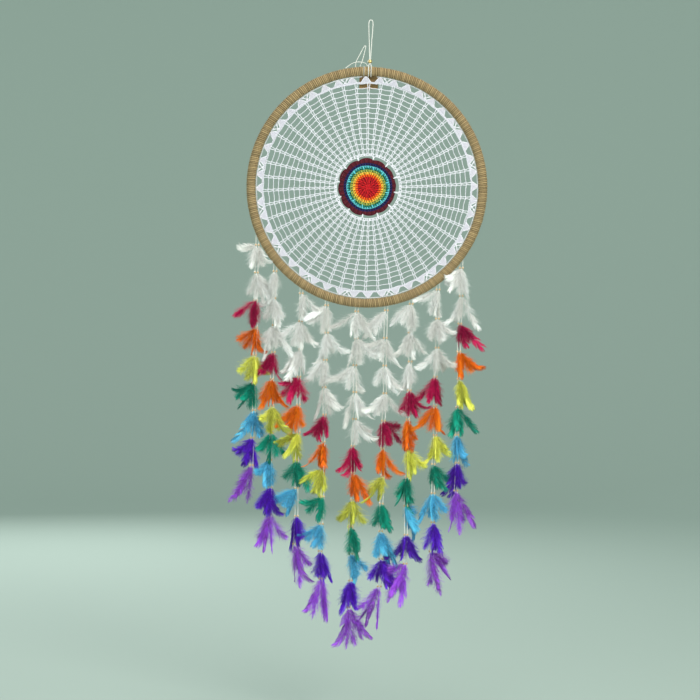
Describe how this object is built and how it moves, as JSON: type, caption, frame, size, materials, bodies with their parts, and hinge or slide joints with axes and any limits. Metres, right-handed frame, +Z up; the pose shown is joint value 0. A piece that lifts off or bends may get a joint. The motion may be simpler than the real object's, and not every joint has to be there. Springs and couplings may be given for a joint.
{
  "type": "dream catcher",
  "caption": "Hanging hoop of jute-wrapped cane with a crocheted web, a round multicoloured centre and strands of beads and dyed feathers below, on a cord loop.",
  "frame": {"origin": "nail seat: the top inside of the hanging loop, where it rests on a nail", "axes": "+Z up along the hanging cord, +X to the right seen from the front, the front of the web faces -Y"},
  "size_m": [0.4199, 0.0229, 1.0875],
  "materials": {
    "jute": "close turns of tan jute twine, matt and hairy",
    "cane": "plain bent cane under the twine",
    "white_thread": "twisted white cotton crochet thread, matt",
    "white_cord": "thin waxed white cotton cord",
    "yarn_red": "crocheted cotton, matt",
    "yarn_orange": "crocheted cotton, matt",
    "yarn_yellow": "crocheted cotton, matt",
    "yarn_lime": "crocheted cotton, matt",
    "yarn_teal": "crocheted cotton, matt",
    "yarn_aqua": "crocheted cotton, matt",
    "yarn_navy": "crocheted cotton, matt",
    "yarn_maroon": "crocheted cotton, matt",
    "gold_bead": "small smooth gold bead",
    "wood_bead": "small varnished natural wood beads",
    "kraft_card": "blank brown kraft card",
    "feather_white": "fluffy white feathers",
    "feather_crimson": "dyed feathers",
    "feather_orange": "dyed feathers",
    "feather_yellow": "dyed feathers",
    "feather_teal": "dyed feathers",
    "feather_blue": "dyed feathers",
    "feather_violet": "dyed feathers",
    "feather_lilac": "dyed feathers"
  },
  "bodies": {
    "hanger": {"hanger_loop": "white_cord"},
    "hitch": {"hanger_bead": "gold_bead", "hitch_cord": "white_cord"},
    "hoop": {"cane_hoop": "cane", "jute_wrap": "jute", "web_net": "white_thread", "rosette_red": "yarn_red", "rosette_orange": "yarn_orange", "rosette_yellow": "yarn_yellow", "rosette_lime": "yarn_lime", "rosette_teal": "yarn_teal", "rosette_aqua": "yarn_aqua", "rosette_navy": "yarn_navy", "rosette_maroon": "yarn_maroon", "lacing_thread": "white_thread", "spare_loop": "white_cord", "tail_cord": "white_cord", "kraft_tag": "kraft_card", "tag_string": "white_cord", "strand_stubs": "white_cord"},
    "strand_1": {"strand_1_cords": "white_cord", "strand_1_beads": "wood_bead", "strand_1_white_feathers": "feather_white", "strand_1_dyed_feathers": "feather_violet"},
    "strand_2": {"strand_2_cords": "white_cord", "strand_2_beads": "wood_bead", "strand_2_white_feathers": "feather_white", "strand_2_dyed_feathers": "feather_violet"},
    "strand_3": {"strand_3_cords": "white_cord", "strand_3_beads": "wood_bead", "strand_3_white_feathers": "feather_white", "strand_3_dyed_feathers": "feather_violet"},
    "strand_4": {"strand_4_cords": "white_cord", "strand_4_beads": "wood_bead", "strand_4_white_feathers": "feather_white", "strand_4_dyed_feathers": "feather_violet"},
    "strand_5": {"strand_5_cords": "white_cord", "strand_5_beads": "wood_bead", "strand_5_white_feathers": "feather_white", "strand_5_dyed_feathers": "feather_violet"},
    "strand_6": {"strand_6_cords": "white_cord", "strand_6_beads": "wood_bead", "strand_6_white_feathers": "feather_white", "strand_6_dyed_feathers": "feather_violet"},
    "strand_7": {"strand_7_cords": "white_cord", "strand_7_beads": "wood_bead", "strand_7_white_feathers": "feather_white", "strand_7_dyed_feathers": "feather_violet"},
    "strand_8": {"strand_8_cords": "white_cord", "strand_8_beads": "wood_bead", "strand_8_white_feathers": "feather_white", "strand_8_dyed_feathers": "feather_violet"},
    "strand_9": {"strand_9_cords": "white_cord", "strand_9_beads": "wood_bead", "strand_9_white_feathers": "feather_white", "strand_9_dyed_feathers": "feather_violet"}
  },
  "joints": [
    {"name": "hoop_turn", "type": "hinge", "parent": "hanger", "child": "hitch", "pos_m": [0, 0, -0.0713], "axis": [0, 0, 1], "range_deg": [-180, 180]},
    {"name": "hoop_swing", "type": "hinge", "parent": "hitch", "child": "hoop", "pos_m": [0, 0, -0.0884], "axis": [1, 0, 0], "range_deg": [-30, 30]},
    {"name": "strand_1_swing", "type": "hinge", "parent": "hoop", "child": "strand_1", "pos_m": [-0.188, 0, -0.39054], "axis": [1, 0, 0], "range_deg": [-40, 40]},
    {"name": "strand_2_swing", "type": "hinge", "parent": "hoop", "child": "strand_2", "pos_m": [-0.156, 0, -0.43541], "axis": [1, 0, 0], "range_deg": [-40, 40]},
    {"name": "strand_3_swing", "type": "hinge", "parent": "hoop", "child": "strand_3", "pos_m": [-0.1095, 0, -0.4728], "axis": [1, 0, 0], "range_deg": [-40, 40]},
    {"name": "strand_4_swing", "type": "hinge", "parent": "hoop", "child": "strand_4", "pos_m": [-0.065, 0, -0.49258], "axis": [1, 0, 0], "range_deg": [-40, 40]},
    {"name": "strand_5_swing", "type": "hinge", "parent": "hoop", "child": "strand_5", "pos_m": [-0.0125, 0, -0.50186], "axis": [1, 0, 0], "range_deg": [-40, 40]},
    {"name": "strand_6_swing", "type": "hinge", "parent": "hoop", "child": "strand_6", "pos_m": [0.039, 0, -0.4989], "axis": [1, 0, 0], "range_deg": [-40, 40]},
    {"name": "strand_7_swing", "type": "hinge", "parent": "hoop", "child": "strand_7", "pos_m": [0.082, 0, -0.48647], "axis": [1, 0, 0], "range_deg": [-40, 40]},
    {"name": "strand_8_swing", "type": "hinge", "parent": "hoop", "child": "strand_8", "pos_m": [0.128, 0, -0.46047], "axis": [1, 0, 0], "range_deg": [-40, 40]},
    {"name": "strand_9_swing", "type": "hinge", "parent": "hoop", "child": "strand_9", "pos_m": [0.1675, 0, -0.422], "axis": [1, 0, 0], "range_deg": [-40, 40]}
  ]
}
